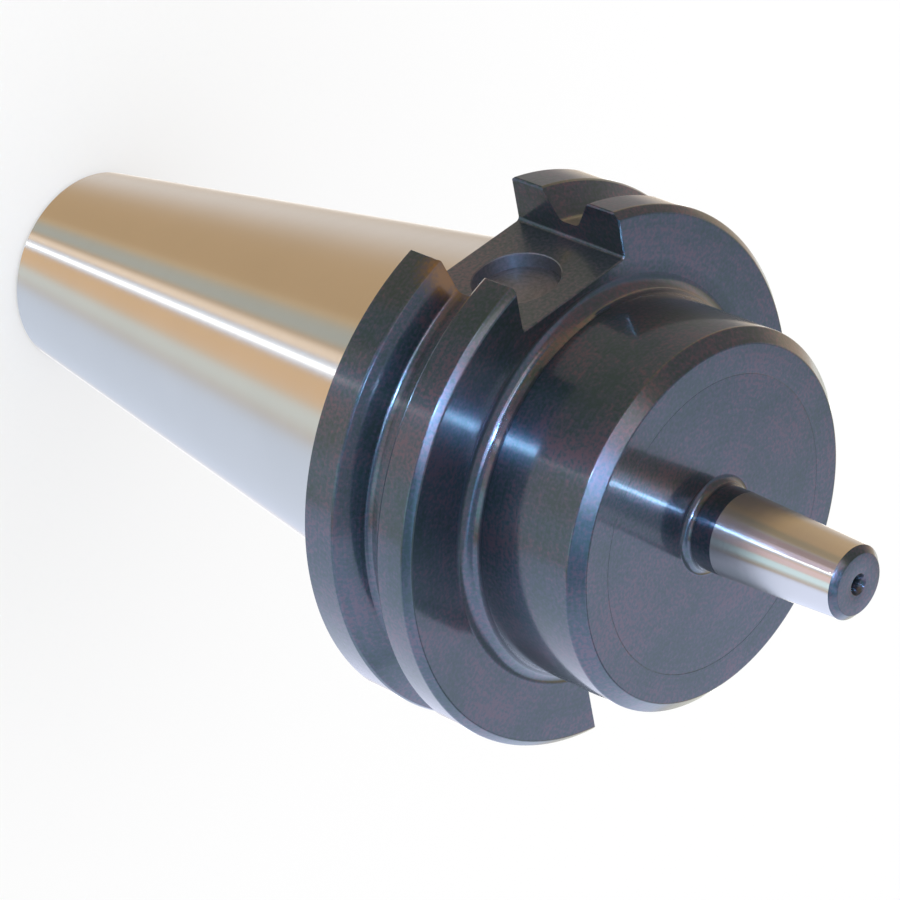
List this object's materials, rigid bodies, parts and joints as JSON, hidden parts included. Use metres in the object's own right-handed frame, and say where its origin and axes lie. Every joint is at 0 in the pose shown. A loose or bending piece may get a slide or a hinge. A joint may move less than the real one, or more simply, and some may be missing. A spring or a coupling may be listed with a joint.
{
  "type": "drill chuck arbor",
  "caption": "Steep-taper shank with a grooved and slotted flange, a short body, and a slim self-holding taper on its nose that carries a drill chuck.",
  "frame": {"origin": "centre of the gauge plane, where the steep taper measures 44.45 mm across", "axes": "+Z along the tool axis towards the nose, +Y through the plain drive slot, -Y through the drive slot with the round pocket"},
  "size_m": [0.0635, 0.0612, 0.1234],
  "materials": {
    "steel": "ground tapers, black oxide flange, body and nose end"
  },
  "bodies": {
    "root": {"arbor": "steel"}
  },
  "joints": []
}
